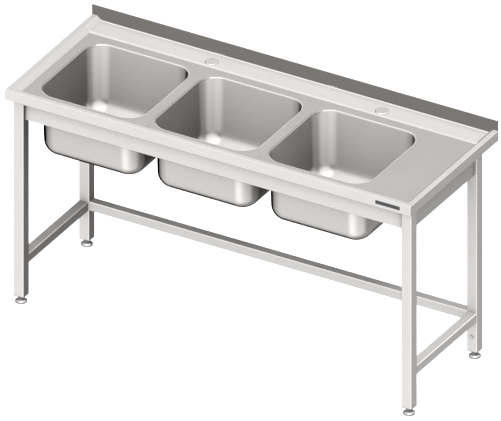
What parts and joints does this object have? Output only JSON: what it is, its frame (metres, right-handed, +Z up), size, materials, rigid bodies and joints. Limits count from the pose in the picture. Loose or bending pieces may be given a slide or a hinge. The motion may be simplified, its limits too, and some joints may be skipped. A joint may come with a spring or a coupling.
{
  "type": "three compartment catering sink",
  "caption": "Stainless catering sink table: pressed worktop with three square bowls, a plain strip at the right, a low splashback and an open square-tube frame on screw feet.",
  "frame": {"origin": "on the floor, at the centre of the footprint", "axes": "+X along the worktop to the user's right, +Y from the front to the wall, +Z up"},
  "size_m": [1.6, 0.6005, 0.89],
  "materials": {
    "worktop_steel": "satin brushed along the length",
    "bowl_steel": "satin, polished at the weld",
    "stiffener_steel": "mill finish",
    "apron_steel": "satin brushed along the length",
    "leg_steel": "satin brushed along the tube",
    "brace_steel": "satin brushed along the tube",
    "foot_steel": "turned, bright",
    "waste_steel": "polished",
    "cap_steel": "satin",
    "fastener_steel": "plain bright",
    "locknut_brass": "cast and turned",
    "plate_metal": "satin, blank",
    "plug_plastic": "moulded, dark",
    "waste_plastic": "moulded, off-white",
    "seal_rubber": "moulded"
  },
  "bodies": {
    "table": {"worktop": "worktop_steel", "bowl_left": "bowl_steel", "bowl_middle": "bowl_steel", "bowl_right": "bowl_steel", "stiffener_left_web": "stiffener_steel", "stiffener_right_web": "stiffener_steel", "stiffener_plain_end": "stiffener_steel", "apron_front": "apron_steel", "apron_left": "apron_steel", "apron_right": "apron_steel", "rail_rear": "apron_steel", "leg_front_left": "leg_steel", "leg_front_right": "leg_steel", "leg_rear_left": "leg_steel", "leg_rear_right": "leg_steel", "brace_left": "brace_steel", "brace_right": "brace_steel", "brace_rear": "brace_steel", "leg_plug_front_left": "plug_plastic", "leg_plug_front_right": "plug_plastic", "leg_plug_rear_left": "plug_plastic", "leg_plug_rear_right": "plug_plastic", "waste_flange_left": "waste_steel", "waste_flange_middle": "waste_steel", "waste_flange_right": "waste_steel", "waste_gasket_left": "seal_rubber", "waste_gasket_middle": "seal_rubber", "waste_gasket_right": "seal_rubber", "waste_locknut_left": "locknut_brass", "waste_locknut_middle": "locknut_brass", "waste_locknut_right": "locknut_brass", "waste_outlet_left": "waste_plastic", "waste_outlet_middle": "waste_plastic", "waste_outlet_right": "waste_plastic", "outlet_nut_left": "waste_plastic", "outlet_nut_middle": "waste_plastic", "outlet_nut_right": "waste_plastic", "tap_cap_left": "cap_steel", "tap_cap_right": "cap_steel", "tap_cap_gaskets": "seal_rubber", "tap_cap_nuts": "fastener_steel", "top_studs": "fastener_steel", "top_stud_nuts": "fastener_steel", "earth_bolt": "fastener_steel", "earth_bolt_nuts": "fastener_steel", "nameplate": "plate_metal"},
    "foot_base_front_left": {"foot_pad_front_left": "foot_steel"},
    "foot_spindle_front_left": {"foot_screw_front_left": "foot_steel"},
    "foot_base_front_right": {"foot_pad_front_right": "foot_steel"},
    "foot_spindle_front_right": {"foot_screw_front_right": "foot_steel"},
    "foot_base_rear_left": {"foot_pad_rear_left": "foot_steel"},
    "foot_spindle_rear_left": {"foot_screw_rear_left": "foot_steel"},
    "foot_base_rear_right": {"foot_pad_rear_right": "foot_steel"},
    "foot_spindle_rear_right": {"foot_screw_rear_right": "foot_steel"},
    "basket_left": {"waste_basket_left": "waste_steel"},
    "basket_middle": {"waste_basket_middle": "waste_steel"},
    "basket_right": {"waste_basket_right": "waste_steel"}
  },
  "joints": [
    {"name": "foot_height_front_left", "type": "slide", "parent": "table", "child": "foot_base_front_left", "axis": [0, 0, -1], "range_m": [0, 0.024]},
    {"name": "foot_turn_front_left", "type": "hinge", "parent": "foot_base_front_left", "child": "foot_spindle_front_left", "pos_m": [-0.764, -0.248, 0.02], "axis": [0, 0, -1], "range_deg": [0, 5760]},
    {"name": "foot_height_front_right", "type": "slide", "parent": "table", "child": "foot_base_front_right", "axis": [0, 0, -1], "range_m": [0, 0.024]},
    {"name": "foot_turn_front_right", "type": "hinge", "parent": "foot_base_front_right", "child": "foot_spindle_front_right", "pos_m": [0.764, -0.248, 0.02], "axis": [0, 0, -1], "range_deg": [0, 5760]},
    {"name": "foot_height_rear_left", "type": "slide", "parent": "table", "child": "foot_base_rear_left", "axis": [0, 0, -1], "range_m": [0, 0.024]},
    {"name": "foot_turn_rear_left", "type": "hinge", "parent": "foot_base_rear_left", "child": "foot_spindle_rear_left", "pos_m": [-0.764, 0.2, 0.02], "axis": [0, 0, -1], "range_deg": [0, 5760]},
    {"name": "foot_height_rear_right", "type": "slide", "parent": "table", "child": "foot_base_rear_right", "axis": [0, 0, -1], "range_m": [0, 0.024]},
    {"name": "foot_turn_rear_right", "type": "hinge", "parent": "foot_base_rear_right", "child": "foot_spindle_rear_right", "pos_m": [0.764, 0.2, 0.02], "axis": [0, 0, -1], "range_deg": [0, 5760]},
    {"name": "basket_lift_left", "type": "slide", "parent": "table", "child": "basket_left", "axis": [0, 0, 1], "range_m": [0, 0.3]},
    {"name": "basket_lift_middle", "type": "slide", "parent": "table", "child": "basket_middle", "axis": [0, 0, 1], "range_m": [0, 0.3]},
    {"name": "basket_lift_right", "type": "slide", "parent": "table", "child": "basket_right", "axis": [0, 0, 1], "range_m": [0, 0.3]}
  ],
  "couplings": [
    {"joint": "foot_turn_front_left", "follows": "foot_height_front_left", "rad_per_m": 4188.8},
    {"joint": "foot_turn_front_right", "follows": "foot_height_front_right", "rad_per_m": 4188.8},
    {"joint": "foot_turn_rear_left", "follows": "foot_height_rear_left", "rad_per_m": 4188.8},
    {"joint": "foot_turn_rear_right", "follows": "foot_height_rear_right", "rad_per_m": 4188.8}
  ]
}
